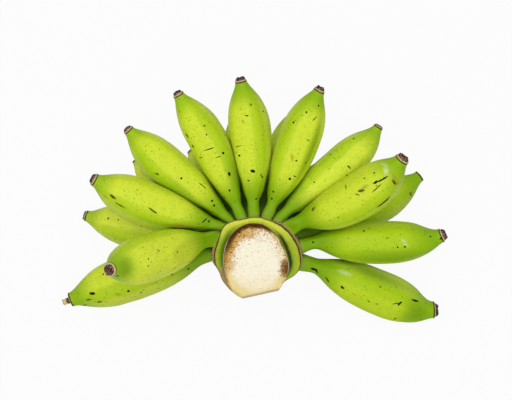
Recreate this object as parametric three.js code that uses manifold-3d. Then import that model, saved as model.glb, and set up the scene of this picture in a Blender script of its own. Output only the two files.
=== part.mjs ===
// A hand of green bananas on a short piece of the stalk that it grew on.
//
// The hand is laid out round its stalk. The stalk's axis is Z, with the face that was cut last at
// the top, and Y points from the knife-cut flat on the stalk's side towards the middle of the hand.
// The finished hand leans back by LEAN, so that it lies on the bellies of its lower row.
// Lengths are millimetres and angles are degrees.

import * as THREE from "three";
import { mergeVertices } from "three/addons/utils/BufferGeometryUtils.js";
import Module from "manifold-3d";

const wasm = await Module();
wasm.setup();

const LEAN = 13;

// Stalk and crown. The crown is the cushion round the stalk that the fingers grow from.
const CROWN_RADIUS = 40.5;
const CROWN_TOP = 12;
const CROWN_BOTTOM = -22;
const FLANGE_HEIGHT = 15;
const GROOVE_RADIUS = 32;
const STALK_RADIUS = 27.7;
const STALK_TOP = 35;
const STALK_BOTTOM = -34;
const STALK_STRETCH = 1.24; // the stalk is oval: this much deeper than it is wide
const STALK_TURN = 7; // the turn of its oval's long axis from Y
const STALK_OFFSET = { x: -1.8, y: 1 }; // and how far its axis stands from the crown's

// Knife cuts. Each is a flat at a distance from the crown's axis, turned round the stalk from -Y.
// The crown stops at one on either side, and the third takes off the front of the whole stalk.
const RIGHT_CUT = { distance: 31.5, turn: 46, slope: 0 };
const LEFT_CUT = { distance: 34, turn: -61, slope: 0 };
const FRONT_CUT = { distance: 29.5, turn: 12.5, slope: 4 }; // it leans outwards towards the bottom
const EDGE_CUT = { distance: 66.5, turn: 12.5, slope: 50 }; // the edge that broke off above it
const CROWN_SIDES = 48;

// Fingers. Each one leaves the crown at an angle round the stalk and a height on it, and runs
// outwards with a heading seen from above and a pitch over the horizontal. Both change evenly over
// its length: sweep is the change of heading and lift is the change of pitch. RootTurn is how much
// further its pedicel is turned, and neckTurn how much further its neck. Pedicel, radius and neck
// are its radii at the crown, at the belly and at the flower end.
const UPPER_ROW = [
  {
    leaves: 147, height: 6, heading: 196, sweep: 1.5, pitch: 18, lift: 50, length: 130.5,
    rootTurn: -9, neckTurn: -3, pedicel: 7, radius: 19.8, neck: 5.8,
  },
  {
    leaves: 135, height: 5, heading: 170, sweep: -20, pitch: -2, lift: 22, length: 130.5,
    rootTurn: -14, neckTurn: 0, pedicel: 5.6, radius: 19.8, neck: 5.8,
  },
  {
    leaves: 124, height: 3, heading: 144, sweep: -9.5, pitch: -8, lift: 26, length: 131,
    rootTurn: -14, neckTurn: -2, pedicel: 5, radius: 18, neck: 4.9,
  },
  {
    leaves: 109, height: 4, heading: 103, sweep: 27.5, pitch: -5, lift: 26, length: 131.5,
    rootTurn: 11, neckTurn: -8.5, pedicel: 4.9, radius: 17, neck: 5,
  },
  {
    leaves: 94, height: 4, heading: 85, sweep: 20, pitch: -6, lift: 26, length: 128,
    rootTurn: 8, neckTurn: -2, pedicel: 5.2, radius: 18.4, neck: 5.3,
  },
  {
    leaves: 78, height: 4, heading: 66.5, sweep: 3.5, pitch: -6, lift: 26, length: 129,
    rootTurn: 0, neckTurn: -8, pedicel: 4.9, radius: 18.4, neck: 5.2,
  },
  {
    leaves: 63.5, height: 2, heading: 35.5, sweep: 10.5, pitch: -12, lift: 27, length: 131,
    rootTurn: 12, neckTurn: 13, pedicel: 4.9, radius: 17.2, neck: 4.4,
  },
  {
    leaves: 47, height: 6, heading: 8, sweep: 44, pitch: 9, lift: 18, length: 128,
    rootTurn: 22, neckTurn: 2, pedicel: 6.6, radius: 19.8, neck: 6.4,
  },
  {
    leaves: 19, height: 0, heading: -7, sweep: 15, pitch: -6, lift: 20, length: 134,
    rootTurn: 25, neckTurn: 16, pedicel: 5.7, radius: 18.5, neck: 6.4,
  },
  {
    leaves: -1.5, height: -7, heading: -26.8, sweep: 6.5, pitch: -13.5, lift: 16, length: 136.5,
    rootTurn: 14, neckTurn: 22.5, pedicel: 7, radius: 19.4, neck: 7.8,
  },
];
const LOWER_ROW = [
  {
    leaves: 168, height: -13, heading: 189.3, sweep: 15.5, pitch: -9.6, lift: 10, length: 145.2,
    rootTurn: 15, neckTurn: -3, pedicel: 6.6, radius: 20.6, neck: 6.8,
    stub: 4.5, // what is left of the style, past the flower end
  },
  {
    leaves: 155, height: -13, heading: 174.1, sweep: -5.5, pitch: -20, lift: 20, length: 132.6,
    rootTurn: -14, neckTurn: -7, pedicel: 8.8, radius: 19.2, neck: 5.1,
  },
  {
    leaves: 135, height: -14, heading: 144, sweep: 2, pitch: -35, lift: 28, length: 121.5,
    rootTurn: 0, neckTurn: -30, pedicel: 6, radius: 16, neck: 5.6,
  },
  {
    leaves: 118, height: -14, heading: 121.2, sweep: 3, pitch: -45.5, lift: 34, length: 97.3,
    rootTurn: 0, neckTurn: 0, pedicel: 7, radius: 16, neck: 5,
  },
  {
    leaves: 99, height: -14, heading: 98, sweep: 4, pitch: -42.3, lift: 28, length: 117,
    rootTurn: -8, neckTurn: 0, pedicel: 7.4, radius: 16, neck: 5,
  },
  {
    leaves: 83.5, height: -14, heading: 68.5, sweep: 4, pitch: -40, lift: 28, length: 126,
    rootTurn: 7, neckTurn: 0, pedicel: 7.4, radius: 16, neck: 5,
  },
  {
    leaves: 66, height: -14, heading: 36.5, sweep: 4, pitch: -40.4, lift: 28, length: 103,
    rootTurn: 18, neckTurn: 0, pedicel: 7.4, radius: 15.5, neck: 5,
  },
  {
    leaves: 49, height: -14, heading: 29, sweep: 4, pitch: -35, lift: 27, length: 112,
    rootTurn: 12, neckTurn: 0, pedicel: 7.2, radius: 15.6, neck: 5,
  },
  {
    leaves: 31.5, height: -12, heading: 17.6, sweep: 17, pitch: -23, lift: 22, length: 140.4,
    rootTurn: -5, neckTurn: 4.5, pedicel: 7.4, radius: 18.2, neck: 5.4,
  },
];

// Shape of every finger along its length, as parts of that length.
const ROOT_END = 0.26; // where the pedicel's own turn has run out
const NECK_START = 0.78; // where the neck's own turn sets in
const BELLY_START = 0.1;
const BELLY_PEAK = 0.61;
const BELLY_END = 0.962;
const BELLY_RISE = 3; // power of the belly's swelling from the pedicel
const BELLY_FALL = 2.5; // power of its narrowing towards the flower end
const FLARE = 1.2; // how much thicker the pedicel is where it joins the crown
const FLARE_LENGTH = 12;
const RIDGES = 5; // the soft edges that run along a finger
const RIDGE_RISE = 0.025;
const FINGER_SIDES = 15;
const FINGER_RINGS = [0, 0.05, 0.1, 0.14, 0.19, 0.26, 0.35, 0.46, 0.58, 0.68, 0.76, 0.82, 0.865, 0.9, 0.93];
const SPINE_STEPS = 48;

const SEAT_GAP = 0.5; // between the crown and a pedicel
const PRESS_GAP = 0.6; // between two fingers that are pressed flat against each other
const FLOWER_END_LENGTH = 4.5;
const FLOWER_END_GAP = 0.4;
const FLOWER_END_SIDES = 10;
const STUB_RADIUS = 2.6;

const peel = new THREE.MeshStandardMaterial({ color: 0x98bf1e, roughness: 0.45, metalness: 0 });
const stalkFlesh = new THREE.MeshStandardMaterial({ color: 0xe9dfae, roughness: 0.85, metalness: 0 });
const driedFlower = new THREE.MeshStandardMaterial({ color: 0x5c4434, roughness: 0.95, metalness: 0 });

const radians = THREE.MathUtils.degToRad;

/** One finger: its bent axis, its thickness, and how near a point is to its skin. */
class Finger {
  constructor(place) {
    this.place = place;
    this.bodyLength = place.length - FLOWER_END_LENGTH;
    this.spine = this.traceSpine();
  }

  /** Unit vector along the finger, at t from 0 at the crown to 1 at the flower end. */
  directionAt(t) {
    const root = this.place.rootTurn * (1 - THREE.MathUtils.smoothstep(t, 0, ROOT_END));
    const neck = this.place.neckTurn * THREE.MathUtils.smoothstep(t, NECK_START, 1);
    const heading = radians(this.place.heading + this.place.sweep * t + root + neck);
    const pitch = radians(this.place.pitch + this.place.lift * t);
    return new THREE.Vector3(
      Math.cos(pitch) * Math.cos(heading),
      Math.cos(pitch) * Math.sin(heading),
      Math.sin(pitch),
    );
  }

  /** Points along the axis, one step apart, from just inside the crown. */
  traceSpine() {
    const start = radians(this.place.leaves);
    const root = CROWN_RADIUS - 1;
    const point = new THREE.Vector3(root * Math.cos(start), root * Math.sin(start), this.place.height);
    const points = [point.clone()];
    for (let step = 0; step < SPINE_STEPS; step += 1) {
      const along = this.directionAt((step + 0.5) / SPINE_STEPS);
      point.addScaledVector(along, this.place.length / SPINE_STEPS);
      points.push(point.clone());
    }
    return points;
  }

  pointAt(t) {
    const place = THREE.MathUtils.clamp(t, 0, 1) * SPINE_STEPS;
    const step = Math.min(Math.floor(place), SPINE_STEPS - 1);
    return this.spine[step].clone().lerp(this.spine[step + 1], place - step);
  }

  /** Radius of the round finger at t: a belly that runs smoothly into the pedicel and the neck. */
  radiusAt(t) {
    const isRising = t < BELLY_PEAK;
    const away = (t - BELLY_PEAK) / ((isRising ? BELLY_START : BELLY_END) - BELLY_PEAK);
    const swelling = 1 - Math.min(away, 1) ** (isRising ? BELLY_RISE : BELLY_FALL);
    const core = THREE.MathUtils.lerp(this.place.pedicel, this.place.neck, t);
    const flare = FLARE * (1 - THREE.MathUtils.smoothstep(t * this.place.length, 0, FLARE_LENGTH));
    return Math.hypot(this.place.radius * swelling, core + flare);
  }

  /** Distance from a point to the skin of the round finger, negative inside it. */
  distanceTo(point) {
    let nearest = Infinity;
    this.spine.forEach((centre, step) => {
      nearest = Math.min(nearest, centre.distanceTo(point) - this.radiusAt(step / SPINE_STEPS));
    });
    return nearest;
  }
}

/** Moves a lathe's vertices, turned about Y, on to a finger's bent axis, with its soft ridges. */
function bendOntoSpine(geometry, finger) {
  const positions = geometry.attributes.position;
  for (let i = 0; i < positions.count; i += 1) {
    const t = positions.getY(i) / finger.place.length;
    const along = finger.directionAt(t);
    const side = new THREE.Vector3(along.y, -along.x, 0).normalize();
    const up = new THREE.Vector3().crossVectors(side, along);
    const across = new THREE.Vector2(positions.getX(i), positions.getZ(i));
    const ridge = 1 + RIDGE_RISE * Math.cos(RIDGES * across.angle());
    const point = finger
      .pointAt(t)
      .addScaledVector(side, across.x * ridge)
      .addScaledVector(up, across.y * ridge);
    positions.setXYZ(i, point.x, point.y, point.z);
  }
}

/** Draws a point in towards the finger's axis until it is clear of a finger that presses on it. */
function pressAgainst(point, finger, neighbour, axisPoint) {
  const isClear = (place) => neighbour.distanceTo(place) - finger.distanceTo(place) >= PRESS_GAP;
  if (isClear(point)) {
    return point;
  }
  let clear = 0;
  let pressed = 1;
  while (pressed - clear > 1e-3) {
    const middle = (clear + pressed) / 2;
    if (isClear(axisPoint.clone().lerp(point, middle))) {
      clear = middle;
    } else {
      pressed = middle;
    }
  }
  return axisPoint.clone().lerp(point, clear);
}

/** Pushes a point out of the crown's round side. */
function seatOnCrown(point) {
  const reach = Math.hypot(point.x, point.y);
  const seat = CROWN_RADIUS + SEAT_GAP;
  if (reach < seat) {
    point.setX((point.x * seat) / reach).setY((point.y * seat) / reach);
  }
  return point;
}

function fingerGeometry(finger, fingers) {
  const profile = [new THREE.Vector2(0, 0)];
  for (const t of [...FINGER_RINGS, finger.bodyLength / finger.place.length]) {
    profile.push(new THREE.Vector2(finger.radiusAt(t), t * finger.place.length));
  }
  profile.push(new THREE.Vector2(0, finger.bodyLength));
  const geometry = new THREE.LatheGeometry(profile, FINGER_SIDES);
  const stations = Array.from(geometry.attributes.position.array.filter((_, i) => i % 3 === 1));
  bendOntoSpine(geometry, finger);
  const positions = geometry.attributes.position;
  const neighbours = fingers.filter((other) => other !== finger);
  for (let i = 0; i < positions.count; i += 1) {
    const axisPoint = finger.pointAt(stations[i] / finger.place.length);
    let point = new THREE.Vector3().fromBufferAttribute(positions, i);
    for (const neighbour of neighbours) {
      point = pressAgainst(point, finger, neighbour, axisPoint);
    }
    seatOnCrown(point);
    positions.setXYZ(i, point.x, point.y, point.z);
  }
  return geometry;
}

/** The dried remains of the flower: a low crusty cap, and on some fingers the stub of the style. */
function flowerEndGeometry(finger) {
  const start = finger.bodyLength + FLOWER_END_GAP;
  const end = finger.place.length;
  const radius = finger.place.neck;
  const profile = [
    new THREE.Vector2(0, start),
    new THREE.Vector2(radius * 0.95, start),
    new THREE.Vector2(radius * 1.02, start + 1.6),
    new THREE.Vector2(radius * 0.8, end - 0.6),
  ];
  if (finger.place.stub) {
    profile.push(new THREE.Vector2(STUB_RADIUS, end));
    profile.push(new THREE.Vector2(STUB_RADIUS, end + finger.place.stub));
    profile.push(new THREE.Vector2(0, end + finger.place.stub));
  } else {
    profile.push(new THREE.Vector2(radius * 0.45, end));
    profile.push(new THREE.Vector2(0, end - 0.8));
  }
  const geometry = new THREE.LatheGeometry(profile, FLOWER_END_SIDES);
  const tip = finger.pointAt(1);
  const turn = new THREE.Quaternion().setFromUnitVectors(new THREE.Vector3(0, 1, 0), finger.directionAt(1));
  geometry.translate(0, -end, 0).applyQuaternion(turn).translate(tip.x, tip.y, tip.z);
  return geometry;
}

/** A closed geometry with its shared vertices merged, as a solid that can be joined and cut. */
function toSolid(geometry) {
  const bare = geometry.clone();
  bare.deleteAttribute("normal");
  bare.deleteAttribute("uv");
  const merged = mergeVertices(bare, 1e-4);
  const corners = merged.index.array;
  const triangles = [];
  for (let i = 0; i < corners.length; i += 3) {
    const [a, b, c] = [corners[i], corners[i + 1], corners[i + 2]];
    if (a !== b && b !== c && c !== a) {
      triangles.push(a, b, c);
    }
  }
  const mesh = new wasm.Mesh({
    numProp: 3,
    vertProperties: merged.attributes.position.array,
    triVerts: new Uint32Array(triangles),
  });
  return new wasm.Manifold(mesh);
}

function toGeometry(solid) {
  const mesh = solid.getMesh();
  const geometry = new THREE.BufferGeometry();
  geometry.setAttribute("position", new THREE.BufferAttribute(mesh.vertProperties, mesh.numProp));
  geometry.setIndex(new THREE.BufferAttribute(mesh.triVerts, 1));
  geometry.computeVertexNormals();
  return geometry;
}

/** A solid turned about Z, from points of radius and height. */
function turned(points) {
  const profile = points.map(([radius, height]) => new THREE.Vector2(radius, height));
  return new THREE.LatheGeometry(profile, CROWN_SIDES).rotateX(Math.PI / 2);
}

/** A block that takes away everything beyond one knife cut. */
function beyond(cut) {
  const size = 4 * CROWN_RADIUS;
  const block = new THREE.BoxGeometry(size, size, size)
    .translate(0, -size / 2, 0)
    .rotateX(radians(-cut.slope))
    .translate(0, -cut.distance, 0)
    .rotateZ(radians(cut.turn));
  return toSolid(block);
}

function stalkGeometry() {
  const crown = turned([
    [0, CROWN_BOTTOM - 4],
    [STALK_RADIUS, CROWN_BOTTOM - 4],
    [CROWN_RADIUS - 3, CROWN_BOTTOM - 1],
    [CROWN_RADIUS, CROWN_BOTTOM + 4],
    [CROWN_RADIUS, CROWN_TOP],
    [CROWN_RADIUS - 1.5, CROWN_TOP + 2],
    [CROWN_RADIUS - 4, FLANGE_HEIGHT],
    [CROWN_RADIUS - 6, FLANGE_HEIGHT - 0.5],
    [GROOVE_RADIUS, CROWN_TOP - 1],
    [0, CROWN_TOP - 1],
  ]);
  const stalk = turned([
    [0, STALK_BOTTOM],
    [STALK_RADIUS - 1, STALK_BOTTOM],
    [STALK_RADIUS, STALK_BOTTOM + 4],
    [STALK_RADIUS + 1, CROWN_TOP],
    [STALK_RADIUS, STALK_TOP - 3],
    [STALK_RADIUS - 0.5, STALK_TOP],
    [0, STALK_TOP],
  ])
    .scale(1, STALK_STRETCH, 1)
    .rotateZ(radians(STALK_TURN))
    .translate(STALK_OFFSET.x, STALK_OFFSET.y, 0);
  const cushion = toSolid(crown).subtract(beyond(RIGHT_CUT)).subtract(beyond(LEFT_CUT));
  const whole = cushion.add(toSolid(stalk));
  return toGeometry(whole.subtract(beyond(FRONT_CUT)).subtract(beyond(EDGE_CUT)));
}

function namedMesh(name, geometry, material) {
  const mesh = new THREE.Mesh(geometry, material);
  mesh.name = name;
  return mesh;
}

const laidOut = new THREE.Group();
laidOut.add(namedMesh("stalk", stalkGeometry(), stalkFlesh));

const fingers = [...UPPER_ROW, ...LOWER_ROW].map((place) => new Finger(place));
fingers.forEach((finger, index) => {
  const number = String(index + 1).padStart(2, "0");
  laidOut.add(namedMesh(`banana_${number}`, fingerGeometry(finger, fingers), peel));
  laidOut.add(namedMesh(`flower_end_${number}`, flowerEndGeometry(finger), driedFlower));
});
laidOut.rotation.x = radians(LEAN);

// The origin is the middle of the bottom of the hand's box, on the surface that it lies on.
const hand = new THREE.Group();
hand.add(laidOut);
const box = new THREE.Box3().setFromObject(hand, true);
const middle = box.getCenter(new THREE.Vector3());
laidOut.position.set(-middle.x, -middle.y, -box.min.z);

export default hand;
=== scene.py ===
"""The looks of a hand of green bananas on a cut piece of its stalk.

The hand is modelled in millimetres round the stalk: Z is the stalk's axis, with the fresh cut at
the top, and Y points from the knife-cut front towards the middle fingers. Each piece is made
straight, then bent or cut to its shape, leaned back with the whole hand and set down in the frame.
"""

import logging
import math
from dataclasses import dataclass, field
from enum import Enum
from typing import Callable, Iterable, Sequence, Union

import bmesh
import bpy
import numpy as np
from mathutils import Matrix, Vector, noise


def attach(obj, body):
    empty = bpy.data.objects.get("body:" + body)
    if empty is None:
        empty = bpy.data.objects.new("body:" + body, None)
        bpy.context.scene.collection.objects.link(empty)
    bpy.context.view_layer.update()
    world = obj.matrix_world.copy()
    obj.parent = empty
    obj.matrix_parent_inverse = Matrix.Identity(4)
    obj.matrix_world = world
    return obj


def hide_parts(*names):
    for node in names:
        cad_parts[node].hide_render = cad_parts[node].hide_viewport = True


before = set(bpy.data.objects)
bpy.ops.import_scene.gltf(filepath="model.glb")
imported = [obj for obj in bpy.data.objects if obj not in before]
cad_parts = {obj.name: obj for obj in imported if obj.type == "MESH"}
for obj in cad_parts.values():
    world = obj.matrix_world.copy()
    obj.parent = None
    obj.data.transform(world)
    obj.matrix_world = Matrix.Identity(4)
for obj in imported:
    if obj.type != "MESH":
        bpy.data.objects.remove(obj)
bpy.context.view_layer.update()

BODY = "root"
MM = 0.001
LEAN = math.radians(13.0)
CROWN_CENTRE = Vector((5.01, -53.05, 48.51))
HAND_TO_FRAME = (
    Matrix.Scale(MM, 4) @ Matrix.Translation(CROWN_CENTRE) @ Matrix.Rotation(LEAN, 4, "X")
)
UP = Vector((0.0, 0.0, 1.0))
WHITE = (1.0, 1.0, 1.0, 1.0)
POLE = 0.4  # the radius of the small ring that closes a body's end, in millimetres

log = logging.getLogger("hand_of_bananas")


# --- Shader maths -------------------------------------------------------------------------------


def operators(operation: str) -> tuple[Callable, Callable]:
    """The methods that stand for one kind of Math node.

    Args:
        operation: The node's operation.

    Returns:
        The method for a value that comes first, and the one for a value that comes second.
    """

    def first(value: "Value", other: "Input") -> "Value":
        """The node with this value before the other."""
        return value.shader.math(operation, value, other)

    def second(value: "Value", other: "Input") -> "Value":
        """The node with this value after the other."""
        return value.shader.math(operation, other, value)

    return first, second


class Value:
    """One output of a shader node, so that shader maths reads as an expression."""

    __add__, __radd__ = operators("ADD")
    __sub__, __rsub__ = operators("SUBTRACT")
    __mul__, __rmul__ = operators("MULTIPLY")
    __truediv__ = operators("DIVIDE")[0]
    __pow__ = operators("POWER")[0]
    larger = operators("MAXIMUM")[0]

    def __init__(self, shader: "Shader", socket: bpy.types.NodeSocket) -> None:
        """Keeps the shader that makes further nodes, and the output that holds the value."""
        self.shader = shader
        self.socket = socket

    def beside(self, output: Union[int, str]) -> "Value":
        """Another output of the same node."""
        return Value(self.shader, self.socket.node.outputs[output])

    def rising(self, low: float, high: float) -> "Value":
        """A smooth step from 0 at low to 1 at high; high may be the lower of the two.

        Args:
            low: The value where the step is 0.
            high: The value where the step is 1.

        Returns:
            The step, kept between 0 and 1.
        """
        ends = {"From Min": low, "From Max": high, "To Min": 0.0, "To Max": 1.0}
        if high < low:
            ends = {"From Min": high, "From Max": low, "To Min": 1.0, "To Max": 0.0}
        settings = {"interpolation_type": "SMOOTHSTEP"}
        return self.shader.node("ShaderNodeMapRange", settings, {"Value": self, **ends})

    def between(self, low: float, rise: float, fall: float, high: float) -> "Value":
        """A smooth window: 0 up to low, 1 from rise to fall and 0 again from high."""
        return self.rising(low, rise) * self.rising(high, fall)

    def coated(self, *coats: tuple["Input", "Tone"]) -> "Value":
        """This colour under a run of coats.

        Args:
            coats: Each coat's share and its colour, from the first laid on to the last.

        Returns:
            The colour with all the coats on.
        """
        colour = self
        for share, tone in coats:
            colour = self.shader.mix(share, colour, tone)
        return colour


Input = Union[Value, float, Sequence[float]]
Tone = Union[Value, str]


def paint(tone: Tone) -> Input:
    """A colour written as six hexadecimal digits, as the linear colour that a shader takes.

    Args:
        tone: Red, green and blue, two digits each, or a value, which stays as it is.

    Returns:
        Linear red, green and blue with an alpha of 1, or the value.
    """
    if isinstance(tone, Value):
        return tone
    shares = [int(tone[i : i + 2], 16) / 255 for i in (0, 2, 4)]
    linear = [s / 12.92 if s <= 0.04045 else ((s + 0.055) / 1.055) ** 2.4 for s in shares]
    return (*linear, 1.0)


class Shader:
    """A material or a sky under construction, with one method that makes any node."""

    def __init__(self, name: str, world: Union[bpy.types.World, None] = None) -> None:
        """Starts a material, or the sky of a world, without any nodes.

        Args:
            name: The material's name.
            world: The world whose sky is made instead of a material.
        """
        self.material = world or bpy.data.materials.new(name)
        self.material.use_nodes = True
        self.tree = self.material.node_tree
        self.tree.nodes.clear()

    def node(self, kind: str, settings: dict, inputs: dict, output: Union[int, str] = 0) -> Value:
        """Makes a node, sets it and joins it up.

        Args:
            kind: The node's type.
            settings: The node's own settings, which are set first.
            inputs: A value, number or colour for each socket, by its name or place.
            output: The name or place of the output that is wanted.

        Returns:
            That output.
        """
        made = self.tree.nodes.new(kind)
        for name, setting in settings.items():
            setattr(made, name, setting)
        for key, value in inputs.items():
            if isinstance(value, Value):
                self.tree.links.new(value.socket, made.inputs[key])
            else:
                made.inputs[key].default_value = value
        return Value(self, made.outputs[output])

    def math(self, operation: str, first: Input, second: Input) -> Value:
        """A Math node on two numbers."""
        return self.node("ShaderNodeMath", {"operation": operation}, {0: first, 1: second})

    def vector(self, operation: str, inputs: dict, output: str = "Vector") -> Value:
        """A Vector Math node."""
        return self.node("ShaderNodeVectorMath", {"operation": operation}, inputs, output)

    def mix(self, share: Input, first: Tone, second: Tone) -> Value:
        """A colour between two others, with a share of the second."""
        tones = {0: share, 6: paint(first), 7: paint(second)}
        return self.node("ShaderNodeMix", {"data_type": "RGBA"}, tones, 2)

    def attribute(self, name: str, output: str = "Vector") -> Value:
        """An attribute that the mesh carries."""
        settings = {"attribute_type": "GEOMETRY", "attribute_name": name}
        return self.node("ShaderNodeAttribute", settings, {}, output)

    def parts(self, vector: Value) -> tuple[Value, Value, Value]:
        """The three numbers of a vector."""
        first = self.node("ShaderNodeSeparateXYZ", {}, {0: vector})
        return first, first.beside(1), first.beside(2)

    def reach(self, x: Value, y: Value) -> Value:
        """The distance from the Z axis."""
        return (x * x + y * y) ** 0.5

    def bearing(self, x: Value, y: Value) -> Value:
        """The angle from the back round to the left, in degrees from -180 to 180."""
        return self.math("ARCTAN2", 0.0 - x, y) * math.degrees(1.0)

    def noise(
        self, place: Value, size: float, detail: float = 2.0, rough: float = 0.5, output: str = "Fac"
    ) -> Value:
        """Soft noise from 0 to 1.

        Args:
            place: The place, in millimetres.
            size: The size of the noise's patches, in millimetres.
            detail: The number of finer layers.
            rough: The strength of each finer layer.
            output: Fac for one number and Color for three.

        Returns:
            The noise.
        """
        inputs = {"Vector": place, "Scale": 1.0 / size, "Detail": detail, "Roughness": rough}
        return self.node("ShaderNodeTexNoise", {}, inputs, output)

    def stretched(self, place: Value, scale: Sequence[float]) -> Value:
        """A place with each of its numbers multiplied."""
        return self.vector("MULTIPLY", {0: place, 1: tuple(scale)})

    def ragged(self, place: Value, size: float, reach: float) -> Value:
        """A place moved about by noise, which makes what is drawn on it ragged.

        Args:
            place: The place, in millimetres.
            size: The size of the noise's patches, in millimetres.
            reach: The furthest that the place is moved, in millimetres.

        Returns:
            The moved place.
        """
        shift = self.noise(place, size, 3.0, output="Color")
        centred = self.vector("SUBTRACT", {0: shift, 1: (0.5, 0.5, 0.5)})
        scaled = self.vector("SCALE", {0: centred, "Scale": 2.0 * reach})
        return self.vector("ADD", {0: place, 1: scaled})

    def dots(self, place: Value, spacing: float, radius: float, share: float) -> Value:
        """Scattered round dots, of which the smallest are 0.4 as large as the largest.

        Args:
            place: The place, in millimetres.
            spacing: The usual distance between dots, in millimetres.
            radius: The radius of the largest dots, in millimetres.
            share: The share of the places that hold a dot.

        Returns:
            1 on a dot and 0 off it.
        """
        cells = {"Vector": place, "Scale": 1.0 / spacing, "Randomness": 1.0}
        distance = self.node("ShaderNodeTexVoronoi", {}, cells, "Distance")
        chance, _, girth = self.parts(distance.beside("Color"))
        reach = (girth * 0.6 + 0.4) * (radius / spacing)
        return (distance / reach).rising(1.15, 0.7) * chance.rising(share + 0.01, share - 0.01)

    def relief(self, *layers: tuple[Value, float]) -> Value:
        """A bumpy normal.

        Args:
            layers: Each layer's height, from 0 to 1, and the millimetres that 1 stands for.

        Returns:
            The normal.
        """
        below = {}
        for height, depth in layers:
            inputs = {"Height": height, "Distance": depth * MM, "Strength": 1.0, **below}
            below = {"Normal": self.node("ShaderNodeBump", {}, inputs, "Normal")}
        return below["Normal"]

    def end(self, surface: Value, kind: str = "ShaderNodeOutputMaterial") -> bpy.types.ID:
        """Ends the shader in a surface.

        Args:
            surface: The surface.
            kind: The type of the output node.

        Returns:
            The finished material or world.
        """
        self.tree.links.new(surface.socket, self.tree.nodes.new(kind).inputs["Surface"])
        return self.material

    def finish(self, colour: Value, rough: Input, gloss: float, relief: Value) -> bpy.types.ID:
        """Ends the material in a Principled surface.

        Args:
            colour: The colour.
            rough: The roughness.
            gloss: The strength of the reflection.
            relief: The normal.

        Returns:
            The finished material.
        """
        inputs = {"Base Color": colour, "Roughness": rough, "Normal": relief}
        inputs["Specular IOR Level"] = gloss
        return self.end(self.node("ShaderNodeBsdfPrincipled", {}, inputs))


# --- Modelling ----------------------------------------------------------------------------------


@dataclass(frozen=True)
class Ring:
    """One ring of a body that is built up ring by ring along Z, in millimetres."""

    radius: float
    height: float


class Body:
    """A closed body, made straight along Z and then shaped in place."""

    def __init__(self, name: str, rings: Sequence[Ring], sides: int, levels: int) -> None:
        """Extrudes a circle through the rings, closes both ends and smooths the body.

        Args:
            name: The piece's name.
            rings: The rings, from the bottom up.
            sides: The number of corners of each ring.
            levels: The levels of subdivision.
        """
        bpy.ops.object.select_all(action="DESELECT")
        first = rings[0]
        bpy.ops.mesh.primitive_circle_add(
            vertices=sides, radius=first.radius, fill_type="NOTHING", location=(0, 0, first.height)
        )
        self.object = bpy.context.active_object
        self.object.name = name
        self.object.data.name = name
        bpy.ops.object.transform_apply(location=True, rotation=True, scale=True)
        bpy.ops.object.mode_set(mode="EDIT")
        bpy.ops.mesh.select_mode(type="VERT")
        bpy.ops.mesh.select_all(action="SELECT")
        for below, ring in zip(rings, rings[1:]):
            rise = (0.0, 0.0, ring.height - below.height)
            bpy.ops.mesh.extrude_region_move(TRANSFORM_OT_translate={"value": rise})
            ratio = ring.radius / below.radius
            bpy.ops.transform.resize(value=(ratio, ratio, 1), center_override=(0, 0, ring.height))
        bpy.ops.mesh.merge(type="CENTER")
        self.pick_first(sides)
        bpy.ops.mesh.merge(type="CENTER")
        self.face_outwards()
        smoothing = self.object.modifiers.new("smooth", "SUBSURF")
        smoothing.levels = smoothing.render_levels = levels
        bpy.ops.object.modifier_apply(modifier=smoothing.name)
        self.keep("made", self.points)

    def face_outwards(self) -> None:
        """Turns all the body's faces outwards, which bending it may have turned in."""
        bpy.ops.object.mode_set(mode="EDIT")
        bpy.ops.mesh.select_all(action="SELECT")
        bpy.ops.mesh.normals_make_consistent(inside=False)
        bpy.ops.object.mode_set(mode="OBJECT")

    def pick_first(self, count: int) -> None:
        """Selects just the first few corners, in edit mode.

        Args:
            count: How many corners.
        """
        bpy.ops.mesh.select_all(action="DESELECT")
        mesh = bmesh.from_edit_mesh(self.object.data)
        for vertex in mesh.verts:
            vertex.select = vertex.index < count
        mesh.select_flush(True)
        bmesh.update_edit_mesh(self.object.data)

    @property
    def points(self) -> np.ndarray:
        """The places of all the body's corners.

        Returns:
            One row of three numbers for each corner.
        """
        places = np.zeros(len(self.object.data.vertices) * 3, np.float32)
        self.object.data.vertices.foreach_get("co", places)
        return places.reshape(-1, 3).astype(float)

    @points.setter
    def points(self, places: np.ndarray) -> None:
        """Moves all the body's corners."""
        self.object.data.vertices.foreach_set("co", places.astype(np.float32).ravel())
        self.object.data.update()

    def keep(self, name: str, values: np.ndarray) -> None:
        """Keeps a number or a place for each corner in an attribute, for the finishes.

        Args:
            name: The attribute's name.
            values: The numbers or places.
        """
        kind, key = ("FLOAT", "value") if values.ndim == 1 else ("FLOAT_VECTOR", "vector")
        kept = self.object.data.attributes.new(name, kind, "POINT")
        kept.data.foreach_set(key, values.astype(np.float32).ravel())

    def set_down(self, slot: str, *nodes: str) -> None:
        """Args:
            slot: The record's material slot, which is not used.
            nodes: The CAD nodes that the body stands for.
        """
        self.object.data.transform(HAND_TO_FRAME)
        bpy.ops.object.select_all(action="DESELECT")
        self.object.select_set(True)
        bpy.context.view_layer.objects.active = self.object
        self.face_outwards()
        bpy.ops.object.shade_smooth()
        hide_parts(*nodes)
        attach(self.object, BODY)
        log.info("%s: %d faces", self.object.name, len(self.object.data.polygons))


def lumps(points: np.ndarray, size: float, seed: float) -> np.ndarray:
    """Soft lumps and hollows, one number from about -1 to 1 for each place.

    Args:
        points: The places, in millimetres.
        size: The size of a lump, in millimetres.
        seed: Shifts the pattern.

    Returns:
        The heights of the lumps.
    """
    shift = Vector((seed * 13.7, seed * 7.1, seed * 3.3))
    return np.array([noise.noise(Vector(point) / size + shift) for point in points])


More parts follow.
